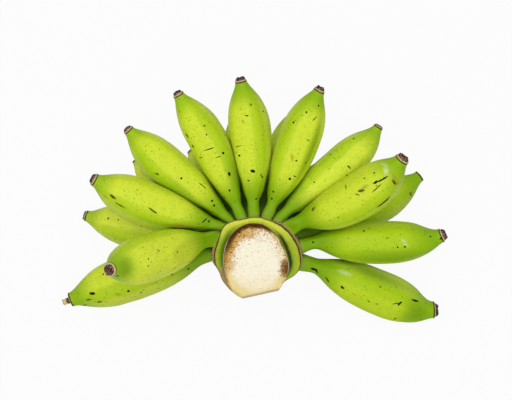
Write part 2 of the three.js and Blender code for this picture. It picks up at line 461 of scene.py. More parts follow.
def eased(values: np.ndarray, low: float, high: float) -> np.ndarray:
    """A smooth step from 0 at low to 1 at high."""
    share = np.clip((values - low) / (high - low), 0.0, 1.0)
    return share * share * (3.0 - 2.0 * share)


def window(values: np.ndarray, low: float, rise: float, fall: float, high: float) -> np.ndarray:
    """A smooth window: 0 up to low, 1 from rise to fall and 0 again from high."""
    return eased(values, low, rise) * (1.0 - eased(values, fall, high))


def hump(values: np.ndarray, middle: float, width: float) -> np.ndarray:
    """A smooth hump, 1 in its middle and about a third at its width."""
    return np.exp(-(((values - middle) / width) ** 2))


def polar(points: np.ndarray) -> tuple[np.ndarray, np.ndarray]:
    """Each place's distance from the Z axis, and its angle round it in radians."""
    return np.hypot(points[:, 0], points[:, 1]), np.arctan2(points[:, 1], points[:, 0])


# --- Fingers ------------------------------------------------------------------------------------


class Blemish(Enum):
    """The kinds of mark on a finger's skin, in the order in which they are painted. The dark green
    patches come first: they are painted shade, mostly where a neighbouring finger shades the skin, and
    not marks on it.
    """

    PATCH = "dark green patch"
    STAIN = "pale brown stain"
    # Whitish patches painted on the skin.
    SCRAPE = "whitish scrape"
    RING = "pale ring"
    SCAR = "brown scar"
    SPOT = "black spot"


@dataclass(frozen=True)
class Mark:
    """A mark on a finger, seen with the finger's base at the left.

    along is the share of the finger's length, across runs from -1 at the left edge of the finger
    to 1 at its right edge, and turn is the angle between the mark and the finger, in degrees.
    """

    kind: Blemish
    along: float
    across: float
    length: float
    width: float
    turn: float = 0.0


def marks(**rows: Iterable[Sequence[float]]) -> tuple[Mark, ...]:
    """Marks from rows of their numbers, with each kind's rows under its name."""
    return tuple(Mark(Blemish[kind.upper()], *row) for kind in rows for row in rows[kind])


@dataclass(frozen=True)
class Growth:
    """Where a finger grows on the crown, how it bends and how thick it is.

    leaves is the angle round the crown, heading and pitch point the finger, and sweep and lift are
    their changes over its length. root and tip are the further turns of its pedicel and its neck.
    band is the angle round the finger of its strongest ridge, from the right side up over the top,
    green, shade and dusk are its share of green, of painted shade at its base and of darker green down
    its neck, gloom is how dark the painted shade is where others hem it in, and crust how high its
    dried end stands. Below 0, green is a share of pale instead, partly the skin's own paler tone and
    partly painted light.
    Lengths are in millimetres and angles in degrees.
    """

    leaves: float
    height: float
    heading: float
    sweep: float
    pitch: float
    lift: float
    root: float
    tip: float
    length: float
    pedicel: float
    radius: float
    neck: float
    stub: float = 0.0
    band: float = 90.0
    green: float = 0.0
    shade: float = 0.0
    dusk: float = 1.0
    gloom: float = 1.0
    crust: float = 1.0
    marks: tuple[Mark, ...] = ()


# Most of these numbers weren't chosen by hand. Another program fitted the fingers' courses and
# radii and worked out the places of the marks, and they were rounded afterwards.
# Each finger's dark green patch rows are painted shade, mostly from a neighbouring finger; its other
# rows are marks on its skin.
GROWTHS = (
    Growth(147, 6, 196, 1.5, 18, 50, -9, -3, 130.5, 7, 19.8, 5.8, band=30, green=-0.6, crust=0.8,
           marks=marks(
        patch=[(0.9, -0.2, 18, 20)],
        stain=[(0.9, -0.75, 7, 2, 80), (0.72, 0.5, 4, 1, -30)],
        scar=[(0.44, -0.15, 3.2, 0.9, 35), (0.45, -0.8, 4.4, 0.9, 55)],
        spot=[(0.61, 0.15, 3.3, 0.9, -65), (0.73, -0.05, 1.3, 1.1), (0.74, -0.35, 1.2, 1),
            (0.93, -0.95, 2.6, 1.1, 60)],
    )),
    Growth(135, 5, 170, -20, -2, 22, -14, 0, 130.5, 5.6, 19.8, 5.8, band=120, green=-0.15, dusk=0.3,
           gloom=0.75, crust=0.7, marks=marks(
        stain=[(0.32, -0.5, 30, 5, 8), (0.86, -0.65, 6, 2.8)],
        scar=[(0.82, -0.35, 7, 2.3), (0.75, -0.5, 12, 1.1), (0.53, -0.15, 11, 1.3, -15),
            (0.3, -0.7, 26, 2.4)],
        spot=[(0.16, 0.2, 7, 0.8, 60), (0.13, 0.3, 1.7, 1.6)],
    )),
    Growth(124, 3, 144, -9.5, -8, 26, -14, -2, 131, 5, 18, 4.9, band=123, dusk=0.2, crust=0.55,
           marks=marks(
        patch=[(0.38, -0.65, 50, 17)],
        scar=[(0.33, 0.5, 10, 0.7, 5), (0.63, -0.55, 5.5, 1.3, 25)],
        spot=[(0.48, 0.05, 1.9, 1.8), (0.21, 0.25, 1.9, 1.8), (0.18, 0.05, 1.8, 1.7)],
    )),
    Growth(109, 4, 103, 27.5, -5, 26, 11, -8.5, 131.5, 4.9, 17, 5, band=60, dusk=0.3, crust=0.5,
           marks=marks(
        patch=[(0.3, 0.65, 50, 18)],
        scar=[(0.71, 0.25, 1.8, 1.5), (0.47, 0.1, 6, 0.7, 85), (0.52, -0.7, 5, 0.7, 75)],
        spot=[(0.71, -0.8, 5, 1.8, 15), (0.62, -0.8, 3.6, 1.7, 10), (0.48, 0.4, 2.2, 2),
            (0.33, 0.3, 3.8, 2.1), (0.55, -0.15, 10.5, 0.7, 80), (0.65, 0.1, 1.3, 1.2),
            (0.19, -0.8, 1.7, 1.6), (0.22, -0.05, 1.9, 1.8)],
    )),
    Growth(94, 4, 85, 20, -6, 26, 8, -2, 128, 5.2, 18.4, 5.3, band=63, crust=0.75, marks=marks(
        stain=[(0.7, -0.25, 5.5, 1.9, 30)],
        scar=[(0.81, 0.3, 1.7, 1.6), (0.52, -0.6, 7, 0.7, -80)],
        spot=[(0.33, 0, 4.6, 2.9, 70), (0.45, -0.6, 1.9, 1.8), (0.74, -0.05, 4, 0.7, 80),
            (0.29, 0.55, 6, 0.9, 50), (0.74, 0.85, 1.4, 1.2), (0.13, 0.45, 1.5, 1.4),
            (0.26, -0.3, 2, 1, 70)],
    )),
    Growth(78, 4, 66.5, 3.5, -6, 26, 0, -8, 129, 4.9, 18.4, 5.2, band=127, crust=0.75, marks=marks(
        patch=[(0.56, 0.7, 90, 10)],
        stain=[(0.47, 0, 9, 2.7, 30)],
        ring=[(0.05, 0.3, 8, 4, -70)],
        scar=[(0.79, 0.4, 6.5, 0.7, -30), (0.63, 0.4, 3.3, 0.9, 80)],
        spot=[(0.46, 0.25, 1.4, 1.3), (0.32, 0.35, 2.1, 2), (0.35, 0.5, 3, 0.8, 80),
            (0.71, -0.55, 1.7, 1.4), (0.81, -0.2, 1.5, 1.3), (0.88, 0.5, 1.3, 1.2),
            (0.19, -0.4, 1.6, 1.5), (0.14, -0.4, 1.7, 1.6), (0.47, 0.7, 1.3, 1.2)],
    )),
    Growth(63.5, 2, 35.5, 10.5, -12, 27, 12, 13, 131, 4.9, 17.2, 4.4, band=130, green=-0.5, gloom=0.5,
           crust=0.1, marks=marks(
        scar=[(0.63, 0.3, 4.5, 1.4, -85), (0.59, -0.8, 2.6, 1.3, -40), (0.58, 0.55, 3.5, 1, -75)],
        spot=[(0.79, -0.7, 1.5, 1.4), (0.37, -0.3, 1.3, 1.2)],
    )),
    Growth(47, 6, 8, 44, 9, 18, 22, 2, 128, 6.6, 19.8, 6.4, band=53, green=0.08, gloom=0.7, crust=0.75,
           marks=marks(
        stain=[(0.25, -0.5, 8, 3.4, 30), (0.67, -0.25, 11, 3.4), (0.86, 0.45, 13, 3.6, 60)],
        scrape=[(0.87, -0.75, 8, 3.4, -55), (0.86, -0.35, 12, 3.8, 60)],
        scar=[(0.24, -0.5, 4.4, 1.9, 25), (0.64, -0.2, 6.5, 2.5, -20), (0.76, -0.15, 7, 1.5, -15),
            (0.74, 0.1, 12, 0.8, 5), (0.55, -0.65, 6.5, 0.8, 75), (0.84, 0.55, 6.4, 1.9, 75),
            (0.7, 0.8, 15, 2.7, -5), (0.6, -0.15, 5, 1, -45)],
        spot=[(0.76, -0.15, 4, 2.1), (0.81, -0.05, 11, 1.2, -10), (0.69, 0.8, 12, 1.7, -10),
            (0.71, -0.55, 1.3, 1.2), (0.79, -0.55, 1.3, 1.2)],
    )),
    Growth(19, 0, -7, 15, -6, 20, 25, 16, 134, 5.7, 18.5, 6.4, band=50, green=0.65, marks=marks(
        patch=[(0.64, 0.65, 90, 17)],
        scrape=[(0.72, 0, 9, 3, -50)],
        spot=[(0.44, -0.6, 1.7, 1.6), (0.1, -0.15, 1.6, 1.5), (0.9, -0.3, 1.4, 1.3),
            (0.96, 0.3, 2.6, 1.6, 10), (0.72, 0.2, 2.4, 1.3, 20), (0.67, 0.2, 1.2, 1.1),
            (0.6, -0.25, 1.2, 1.1)],
    )),
    Growth(-1.5, -7, -26.8, 6.5, -13.5, 16, 14, 22.5, 136.5, 7, 19.4, 7.8, band=100, green=0.5,
           marks=marks(
        patch=[(0.85, 0.35, 36, 24), (0.44, -0.7, 76, 12)],
        stain=[(0.4, 0.5, 5, 1.5, -10)],
        scrape=[(0.28, -0.3, 14, 4.2)],
        scar=[(0.69, 0.1, 10, 1, 30), (0.73, 0.8, 3.6, 1.2, 75), (0.54, -0.3, 2.6, 1, 50),
            (0.51, 0.5, 3.3, 0.8, -15)],
        spot=[(0.09, 0.45, 7.4, 2.3), (0.11, 0.55, 5.5, 1.4, -35), (0.2, 0.65, 6, 1.1, -20),
            (0.31, 0.5, 3.6, 2.2, -15), (0.71, 0.05, 5, 1.7, 70), (0.81, -0.4, 8.5, 1.8, 15),
            (0.57, 0.45, 1.2, 1.1)],
    )),
    Growth(168, -13, 189.3, 15.5, -9.6, 10, 15, -3, 145.2, 6.6, 20.6, 6.8, stub=4.5, band=110,
           green=-0.1, marks=marks(
        stain=[(0.75, -0.7, 4, 2, -25), (0.65, -0.5, 6.5, 3.4, -35), (0.91, 0.1, 2, 1.9)],
        scar=[(0.85, -0.4, 6.3, 1.4), (0.51, -0.75, 1.8, 1.7), (0.28, -0.45, 2, 1.5)],
        spot=[(0.81, -0.1, 5.8, 2.5, -20), (0.79, -0.65, 5.2, 1.6, 5), (0.58, -0.5, 2.4, 2.3),
            (0.9, -0.9, 7, 1.2, 40), (0.7, 0.55, 1.5, 1.4), (0.18, -0.6, 1.9, 1.8)],
    )),
    Growth(155, -13, 174.1, -5.5, -20, 20, -14, -7, 132.6, 8.8, 19.2, 5.1, band=120, crust=0.55,
           green=-1.0, shade=0.5, dusk=0.3, marks=marks(
        spot=[(0.79, 0.2, 1.6, 1.4), (0.71, 0.2, 1.1, 1)],
    )),
    Growth(135, -14, 144, 2, -35, 28, 0, -30, 121.5, 6, 16, 5.6, green=-1.0, shade=1.0, dusk=-1,
           crust=0.1),
    Growth(118, -14, 121.2, 3, -45.5, 34, 0, 0, 97.3, 7, 16, 5, green=-1.0, shade=1.0, dusk=-1,
           crust=0.1),
    Growth(99, -14, 98, 4, -42.3, 28, -8, 0, 117, 7.4, 16, 5, green=0.3, shade=1.0, crust=0.6),
    Growth(83.5, -14, 68.5, 4, -40, 28, 7, 0, 126, 7.4, 16, 5, green=0.3, shade=1.0, crust=0.6),
    Growth(66, -14, 36.5, 4, -40.4, 28, 18, 0, 103, 7.4, 15.5, 5, green=0.3, shade=1.0, crust=0.6),
    Growth(49, -14, 29, 4, -35, 27, 12, 0, 112, 7.2, 15.6, 5, green=0.3, shade=1.0, crust=0.6),
    Growth(31.5, -12, 17.6, 17, -23, 22, -5, 4.5, 140.4, 7.4, 18.2, 5.4, band=70, green=0.35,
           shade=0.6, crust=0.1, marks=marks(
        scar=[(0.84, 0.65, 7, 1.3, -80)],
        spot=[(0.85, 0.6, 2, 1.1)],
    )),
)


@dataclass
class Finger:
    """One banana with its pedicel, from inside the crown to its neck.

    The root_, neck_, belly_ and flare fields shape its outline, ridge_ and lump_ its surface, and
    press_ and crowd_ say how it meets its neighbours. Lengths are in millimetres, and the starts,
    peaks, ends and fades are shares of the finger's length.
    """

    number: int
    growth: Growth
    crown_radius: float = 40.5
    sunk: float = 1.0
    rooted: float = 7.0
    root_end: float = 0.26
    neck_start: float = 0.78
    belly_start: float = 0.1
    belly_peak: float = 0.61
    belly_end: float = 0.962
    belly_rise: float = 3.0
    belly_fall: float = 2.5
    flare: float = 1.2
    flare_length: float = 12.0
    flower_end: float = 4.5
    ridges: int = 5
    ridge_rise: float = 0.032
    ridge_crease: float = 0.35
    ridge_start: tuple[float, float] = (0.02, 0.14)
    ridge_fade: tuple[float, float] = (0.8, 0.97)
    ridge_faded: float = 0.6
    lump_rise: float = 0.35
    lump_size: float = 16.0
    press_gap: float = 0.2
    press_halvings: int = 12
    least_core: float = 0.2
    crowd_reach: float = 6.0
    steps: int = 48
    sides: int = 24
    spine: np.ndarray = field(init=False)
    radii: np.ndarray = field(init=False)

    def __post_init__(self) -> None:
        """Traces the finger's bent axis and its thickness along it."""
        shares = np.linspace(0.0, 1.0, self.steps + 1)
        middles = (shares[1:] + shares[:-1]) / 2.0
        strides = self.directions(middles) * self.growth.length / self.steps
        angle = math.radians(self.growth.leaves)
        root = self.crown_radius - self.sunk
        start = (root * math.cos(angle), root * math.sin(angle), self.growth.height)
        self.spine = np.array(start) + np.vstack([np.zeros(3), np.cumsum(strides, axis=0)])
        self.radii = self.thickness(shares)

    @property
    def body_length(self) -> float:
        """The length up to the dried flower end."""
        return self.growth.length - self.flower_end

    def directions(self, shares: np.ndarray) -> np.ndarray:
        """Unit vectors along the finger.

        Args:
            shares: Shares of the finger's length.

        Returns:
            One vector for each share.
        """
        held = np.clip(shares, 0.0, 1.0)
        root = self.growth.root * (1.0 - eased(held, 0.0, self.root_end))
        tip = self.growth.tip * eased(held, self.neck_start, 1.0)
        heading = np.radians(self.growth.heading + self.growth.sweep * held + root + tip)
        pitch = np.radians(self.growth.pitch + self.growth.lift * held)
        flat = np.cos(pitch)
        return np.stack([flat * np.cos(heading), flat * np.sin(heading), np.sin(pitch)], axis=1)

    def axis(self, shares: np.ndarray) -> np.ndarray:
        """Points on the finger's bent axis, which runs straight on at both ends.

        Args:
            shares: Shares of the finger's length, below 0 inside the crown and over 1 past the tip.

        Returns:
            One point for each share.
        """
        knots = np.linspace(0.0, 1.0, self.steps + 1)
        bent = np.stack([np.interp(shares, knots, self.spine[:, i]) for i in range(3)], axis=1)
        inside = np.minimum(shares, 0.0)[:, None] * self.directions(np.zeros(1))
        beyond = np.maximum(shares - 1.0, 0.0)[:, None] * self.directions(np.ones(1))
        return bent + (inside + beyond) * self.growth.length

    def thickness(self, shares: np.ndarray) -> np.ndarray:
        """The round finger's radius: a belly that runs smoothly into the pedicel and the neck.

        Args:
            shares: Shares of the finger's length.

        Returns:
            One radius for each share.
        """
        before = np.clip((self.belly_peak - shares) / (self.belly_peak - self.belly_start), 0, 1)
        after = np.clip((shares - self.belly_peak) / (self.belly_end - self.belly_peak), 0, 1)
        swelling = 1.0 - before**self.belly_rise - after**self.belly_fall
        core = self.growth.pedicel + (self.growth.neck - self.growth.pedicel) * shares
        flare = self.flare * (1.0 - eased(shares * self.growth.length, 0.0, self.flare_length))
        return np.hypot(self.growth.radius * swelling, core + flare)

    def depth(self, points: np.ndarray) -> np.ndarray:
        """Distance from places to the round finger's skin, negative inside it."""
        gaps = np.linalg.norm(points[:, None] - self.spine[None], axis=2) - self.radii[None]
        return gaps.min(axis=1)

    def rings(self) -> list[Ring]:
        """The rings of the straight finger, closer together where it changes fastest.

        Returns:
            The rings, from inside the crown to the flower end.
        """
        length = self.growth.length
        end = self.body_length / length
        shares = [-self.rooted / length, 0.0, 0.02, 0.05, 0.08, 0.10, 0.12, 0.15, 0.19, 0.24, 0.30]
        shares += [0.37, 0.44, 0.51, 0.58, 0.65, 0.71, 0.77, 0.82, 0.86, 0.89, 0.915, 0.935]
        shares += [end - 0.012, end - 0.003, end]
        radii = self.thickness(np.array(shares))
        rings = [Ring(POLE, shares[0] * length)]
        rings += [Ring(radius, share * length) for radius, share in zip(radii, shares)]
        return rings + [Ring(radii[-1] * 0.9, end * length), Ring(POLE, end * length)]

    def swell(self, points: np.ndarray, around: np.ndarray) -> np.ndarray:
        """Gives the straight finger its ridges and its soft lumps.

        Args:
            points: The straight finger's corners.
            around: The angle of each from the strongest ridge.

        Returns:
            The corners of the swollen finger.
        """
        share = points[:, 2] / self.growth.length
        crest = np.cos(self.ridges * around) + self.ridge_crease * np.cos(2 * self.ridges * around)
        fade = 1.0 - self.ridge_faded * eased(share, *self.ridge_fade)
        body = eased(share, *self.ridge_start) * fade
        across = 1.0 + self.ridge_rise * crest / (1.0 + self.ridge_crease) * body
        reach = np.maximum(polar(points)[0], 0.1)
        lump = lumps(points, self.lump_size, float(self.number)) * eased(reach, 3.0, 9.0)
        factor = across + self.lump_rise * lump / reach * eased(reach, 1.0, 5.0)
        return points * np.stack([factor, factor, np.ones(len(points))], axis=1)

    def bend(self, points: np.ndarray) -> np.ndarray:
        """Bends what is made straight along the finger on to its axis.

        Args:
            points: The straight corners.

        Returns:
            The bent corners.
        """
        shares = points[:, 2] / self.growth.length
        along = self.directions(shares)
        side = np.stack([along[:, 1], -along[:, 0], np.zeros(len(along))], axis=1)
        side /= np.linalg.norm(side, axis=1)[:, None]
        above = np.cross(side, along)
        return self.axis(shares) + side * points[:, :1] + above * points[:, 1:2]

    def is_near(self, other: "Finger") -> bool:
        """Whether another finger could touch this one.

        Args:
            other: The other finger.

        Returns:
            True where the boxes round the two come close enough.
        """
        room = self.growth.radius + other.growth.radius
        low, high = self.spine.min(axis=0) - room, self.spine.max(axis=0) + room
        return bool(np.all(other.spine.max(axis=0) > low) and np.all(other.spine.min(axis=0) < high))

    def crowding(self, points: np.ndarray, others: Iterable["Finger"]) -> np.ndarray:
        """How closely other fingers hem each corner in.

        Args:
            points: The finished finger's corners.
            others: The other fingers of the hand.

        Returns:
            1 at a corner that touches another finger, down to 0 at one that is well clear.
        """
        gap = np.full(len(points), self.crowd_reach)
        for other in filter(self.is_near, others):
            gap = np.minimum(gap, other.depth(points))
        return 1.0 - eased(gap, 0.0, self.crowd_reach)

    def press(self, points: np.ndarray, shares: np.ndarray, others: Iterable["Finger"]) -> np.ndarray:
        """Flattens the finger where others press on it, half way between the two.

        Args:
            points: The bent finger's corners.
            shares: Each corner's share of the finger's length.
            others: The other fingers of the hand.

        Returns:
            The pressed finger's corners.
        """
        centres = self.axis(shares)
        for other in filter(self.is_near, others):
            hit = other.depth(points) - self.depth(points) < self.press_gap
            if not hit.any():
                continue
            core, skin = centres[hit], points[hit]
            clear, pressed = np.full(len(core), self.least_core), np.ones(len(core))
            for _ in range(self.press_halvings):
                middle = (clear + pressed) / 2.0
                place = core + (skin - core) * middle[:, None]
                is_clear = other.depth(place) - self.depth(place) >= self.press_gap
                clear = np.where(is_clear, middle, clear)
                pressed = np.where(is_clear, pressed, middle)
            points[hit] = core + (skin - core) * clear[:, None]
        return points

    def surface_point(self, mark: Mark) -> tuple[Vector, Vector]:
        """Where a mark sits on the straight finger.

        Args:
            mark: The mark.

        Returns:
            The place and the direction out of the skin.
        """
        angle = math.acos(max(-1.0, min(1.0, mark.across)))
        radius = float(self.thickness(np.array([mark.along]))[0])
        out = Vector((math.cos(angle), math.sin(angle), 0.0))
        return out * radius + UP * (mark.along * self.growth.length), out

    def build(self, stalk: "Stalk", others: Sequence["Finger"], finish: "PeelFinish") -> None:
        """Models the finger and dresses it.

        Args:
            stalk: The stalk with the crown that the finger grows on.
            others: The other fingers of the hand.
            finish: The finish of the skin.
        """
        name = f"banana_{self.number:02d}"
        body = Body(f"{name}_skin", self.rings(), self.sides, levels=2)
        straight = body.points
        around = polar(straight)[1] - math.radians(self.growth.band)
        body.keep("ridge", np.cos(self.ridges * around))
        shares = straight[:, 2] / self.growth.length
        pressed = self.press(self.bend(self.swell(straight, around)), shares, others)
        body.points = stalk.tuck(pressed)
        # The finish paints shade from this, darkest where other fingers come closest.
        body.keep("crowding", self.crowding(pressed, others))
        body.object.data.materials.append(finish.material(self))
        body.set_down("peel", name)


@dataclass(frozen=True)
class Wear:
    """How one kind of mark looks.

    soft is the width of its blurred edge, as a share of its size. A noise from 0 to 1 wears it
    away: it is gone where the noise is up to torn, and whole where it is whole or more.
    """

    colour: str
    strength: float
    soft: float
    torn: float
    whole: float


@dataclass(frozen=True)
class PeelFinish:
    """Unripe banana skin: waxy, yellow-green, with fine dots, faint streaks and old marks, and with
    painted shade where other fingers hem it in, at the base of hidden fingers and in dark green
    patches.
    """

    pale: str = "e8f250"
    sunny: str = "d2e234"
    leafy: str = "c0da12"
    deep: str = "a0c600"
    dull: str = "b4c64e"
    neck: str = "7cac00"
    pedicel: str = "7aa602"
    crown: str = "a3b25c"
    shade: str = "263c04"
    speck: str = "5c7004"
    fleck: str = "3c4a0c"
    edge: str = "3a2a12"
    # Dark green patches of painted shade.
    patch: Wear = Wear("5f8a00", 0.6, 0.9, -0.5, 0.4)
    stain: Wear = Wear("a08a2c", 0.65, 0.9, 0.25, 0.55)
    # Whitish patches painted on the skin.
    scrape: Wear = Wear("e2e8b0", 0.7, 0.8, 0.36, 0.54)
    ring: Wear = Wear("c8c68c", 0.5, 0.0, 0.3, 0.55)
    scar: Wear = Wear("54400c", 0.95, 0.4, 0.25, 0.38)
    spot: Wear = Wear("141002", 1.0, 0.2, 0.1, 0.25)
    depth: float = 6.0
    bleed: float = 0.15
    side_turn: float = 58.0
    gloss: float = 0.14

    def blemish(self, place: Value, finger: Finger, mark: Mark, soft: float) -> Value:
        """One mark, as a mask.

        Args:
            place: The ragged place on the straight finger.
            finger: The finger that carries the mark.
            mark: The mark.
            soft: The width of its blurred edge.

        Returns:
            1 on the mark and 0 off it.
        """
        centre, out = finger.surface_point(mark)
        turn = math.radians(mark.turn)
        along = UP * math.cos(turn) + UP.cross(out) * math.sin(turn)
        axes = Matrix((along, out.cross(along), out)).transposed()
        inputs = {
            "Vector": place,
            "Location": centre,
            "Rotation": axes.to_euler(),
            "Scale": (mark.length / 2 + self.bleed, mark.width / 2 + self.bleed, self.depth),
        }
        local = place.shader.node("ShaderNodeMapping", {"vector_type": "TEXTURE"}, inputs)
        distance = place.shader.vector("LENGTH", {0: local}, "Value")
        if mark.kind is Blemish.RING:
            return distance.between(0.72, 0.84, 0.92, 1.04)
        return distance.rising(1.0 + soft / 2, 1.0 - soft)

    def marked(self, shader: Shader, skin: Value, finger: Finger) -> tuple[Value, Value]:
        """Puts a finger's own marks on its skin, and its patches of painted shade.

        Args:
            shader: The shader.
            skin: The clean skin's colour.
            finger: The finger.

        Returns:
            The marked skin's colour, and a mask of where it is marked.
        """
        made = shader.attribute("made")
        place = shader.ragged(made, 1.6, 0.6)
        torn = shader.noise(made, 1.1, 3.0, 0.7)
        worn = torn * 0.0
        looks = (self.patch, self.stain, self.scrape, self.ring, self.scar, self.spot)
        for kind, wear in zip(Blemish, looks):
            masks = [
                self.blemish(place, finger, mark, wear.soft)
                for mark in finger.growth.marks if mark.kind is kind
            ]
            if not masks:
                continue
            mask = masks[0]
            for other in masks[1:]:
                mask = mask.larger(other)
            mask = mask * torn.rising(wear.torn, wear.whole)
            skin = shader.mix(mask * wear.strength, skin, wear.colour)
            # Patches of painted shade leave the skin's roughness and relief alone.
            worn = worn if kind is Blemish.PATCH else worn.larger(mask)
        return skin, worn

    def material(self, finger: Finger) -> bpy.types.Material:
        """The skin of one finger, with its own marks.

        Args:
            finger: The finger.

        Returns:
            The material.
        """
        shader, growth = Shader(f"peel_{finger.number:02d}"), finger.growth
        made = shader.attribute("made")
        seed = finger.number * 57.0
        place = shader.vector("ADD", {0: made, 1: (seed, seed * 0.7, 0.0)})
        across, above, height = shader.parts(made)
        reach = shader.reach(across, above) + 0.1
        share = height / growth.length
        crest = shader.attribute("ridge", "Fac").rising(0.35, 1.0)
        crowding = shader.attribute("crowding", "Fac")
        streaks = shader.noise(shader.stretched(place, (1.0, 1.0, 0.06)), 2.4, 3.0, 0.6)
        patches = shader.noise(place, 24.0)
        mottle = shader.noise(place, 4.5, 4.0, 0.6)
        grain = shader.noise(shader.stretched(place, (1.0, 1.0, 0.5)), 1.6, 3.0, 0.6)
        body = share.between(0.10, 0.24, 0.80, 0.93)

        def facing(degrees: float, low: float, high: float) -> Value:
            """How far the body's skin faces one way, with a wandering edge.

            Args:
                degrees: That way, as an angle round the finger.
                low: How squarely the skin faces it where the result is 0.
                high: How squarely the skin faces it where the result is 1.

            Returns:
                A share from 0 to 1.
            """
            angle = math.radians(degrees)
            square = (across * math.cos(angle) + above * math.sin(angle)) / reach
            return (square + (patches - 0.5) * 0.12).rising(low, high) * body

        side_turn = self.side_turn if growth.band > 90.0 else -self.side_turn
        green = crest * 0.25 + (patches - 0.5) * 0.9 + (streaks - 0.5) * 0.35 + growth.green
        green = green + share.rising(0.34, 0.12) * 0.6 + share.rising(0.74, 0.92) * 0.6
        at_neck = share.rising(0.84 - 0.08 * growth.dusk, 0.94) * (0.6 + 0.2 * growth.dusk)
        dusky = share.between(0.70, 0.80, 0.87, 0.95) * (0.5 * max(growth.green, 0.0))
        # Painted shade where other fingers hem this one in, deepest towards the base.
        closed = crowding**4.0 * (0.35 * growth.gloom)
        closed = closed.larger(crowding**2.2 * share.rising(0.46, 0.20) * (0.97 * growth.gloom))
        at_crown = (height + (mottle - 0.5) * 6.0).rising(6.5, 2.0)
        crumbs = shader.noise(place, 1.5).rising(0.5, 0.6)
        fine = shader.dots(shader.stretched(place, (1.0, 1.0, 0.8)), 3.0, 0.75, 0.7)
        skin = shader.mix(green.rising(0.0, 1.0), self.sunny, self.leafy).coated(
            # Each finger's own greener or paler tone; the pale coat is partly painted light, which
            # lifts fingers that lie deep in the hand or turn from the lamp.
            (abs(growth.green) * 0.5, self.neck if growth.green > 0.0 else self.pale),
            (facing(growth.band + side_turn, 0.62, 0.88) * 0.4, self.dull),
            # A deeper green stripe down the face of the strongest ridge: partly the skin's own green,
            # partly painted shade on the side that a neighbour shades or that turns from the light.
            (facing(growth.band, 0.90, 0.985) * 0.62, self.deep),
            (mottle.rising(0.42, 0.75) * 0.22, self.deep),
            (grain.rising(0.48, 0.72) * 0.3, self.neck),
            (at_neck, self.neck),
            (dusky, self.pedicel),
            (share.rising(0.35, 0.12) * 0.95, self.pedicel),
            # Painted shade in the creases between fingers.
            (closed, self.shade),
            (share.rising(0.50, 0.22) * (0.84 * growth.shade), self.shade),
            (at_crown * (crumbs * 0.4 + 0.04), self.crown),
            (fine * (patches.rising(0.35, 0.6) * 0.3 + 0.3), self.speck),
            (shader.dots(place, 6.4, 0.85, 0.55) * 0.75, self.fleck),
        )
        skin, worn = self.marked(shader, skin, finger)
        at_end = height.rising(finger.body_length - 0.9, finger.body_length - 0.4)
        rough = 0.40 + mottle * 0.16 + (patches - 0.5) * 0.1 + worn * 0.3
        relief = shader.relief((streaks, 0.10), (mottle, 0.16), (fine, 0.06), (1.0 - worn, 0.15))
        return shader.finish(skin.coated((at_end * 0.9, self.edge)), rough, self.gloss, relief)


# --- Flower ends --------------------------------------------------------------------------------


@dataclass
class FlowerEnd:
    """The dried remains of the flower on a finger's neck: a tan ring round a crusty heart."""

    finger: Finger
    ring_share: float = 0.98
    heart_share: float = 0.77
    gap: float = 0.15
    stub_radius: float = 2.6
    stub_share: float = 0.5
    crumple: float = 0.62
    sides: int = 28
    ring: float = field(init=False)

    def __post_init__(self) -> None:
        """Takes the ring's radius from the end of the finger's neck."""
        end = self.finger.body_length / self.finger.growth.length
        self.ring = self.ring_share * float(self.finger.thickness(np.array([end]))[0])

    def rings(self) -> list[Ring]:
        """The rings of the flower end, standing up along Z from the finger's neck.

        Returns:
            The rings, from the neck to the heart's middle or the stub's end.
        """
        ring, heart, stub = self.ring, self.ring * self.heart_share, self.stub_radius
        rings = [
            Ring(POLE, self.gap), Ring(ring * 0.85, self.gap), Ring(ring, self.gap),
            Ring(ring * 1.03, 0.4), Ring(ring * 1.01, 0.7), Ring(ring * 0.95, 1.0),
        ]
        if self.finger.growth.stub:
            top = self.finger.flower_end - 1.0
            end = top + self.finger.growth.stub
            return rings + [
                Ring(heart * 1.05, 1.2), Ring(stub * 1.4, top - 2.4), Ring(stub * 0.95, top),
                Ring(stub, end - 1.2), Ring(stub * 1.12, end - 0.4), Ring(stub * 0.9, end),
                Ring(stub * 0.5, end - 0.6), Ring(POLE / 2, end - 0.8),
            ]
        low = 1.1
        rise = (self.finger.flower_end - low) * self.finger.growth.crust
        return rings + [
            Ring(heart * 1.1, low), Ring(heart * 1.03, low + rise * 0.3),
            Ring(heart * 0.9, low + rise * 0.7), Ring(heart * 0.62, low + rise),
            Ring(heart * 0.35, low + rise * 0.85), Ring(POLE / 2, low + rise * 0.7),
        ]

    def dry(self, points: np.ndarray) -> np.ndarray:
        """Dries the piece out: the edge becomes uneven and the heart lumpy.

        Args:
            points: The corners of the even piece.

        Returns:
            The corners of the dried piece.
        """
        seed = self.finger.number * 5.3
        coarse = lumps(points, 2.4, seed)
        fine = lumps(points, 1.0, seed + 40.0)
        edge = lumps(points * (1.0, 1.0, 0.2), 1.6, seed + 80.0)
        free = eased(points[:, 2], 1.0, 2.2) * (self.stub_share if self.finger.growth.stub else 1.0)
        reach = np.maximum(polar(points)[0], 0.1)
        out = self.crumple * ((coarse + 0.6 * fine) * free + 0.45 * edge * (1.0 - free))
        scale = 1.0 + out / reach * eased(reach, 0.3, 2.0)
        rise = self.crumple * 1.2 * (fine + 0.8 * coarse) * free + 0.25 * edge * (1.0 - free)
        return np.stack([points[:, 0] * scale, points[:, 1] * scale, points[:, 2] + rise], axis=1)

    def build(self, finish: bpy.types.Material) -> None:
        """Models the flower end on its finger's neck and dresses it.

        Args:
            finish: The dried finish.
        """
        name = f"flower_end_{self.finger.number:02d}"
        body = Body(f"{name}_crust", self.rings(), self.sides, levels=1)
        even = body.points
        on_stub = (even[:, 2] > self.finger.flower_end) & bool(self.finger.growth.stub)
        body.keep("outward", polar(even)[0] / self.ring)
        body.keep("stub", on_stub.astype(float))
        dried = self.dry(even)
        dried[:, 2] += self.finger.body_length
        body.points = self.finger.bend(dried)
        body.object.data.materials.append(finish)
        body.set_down("dried_flower", name)


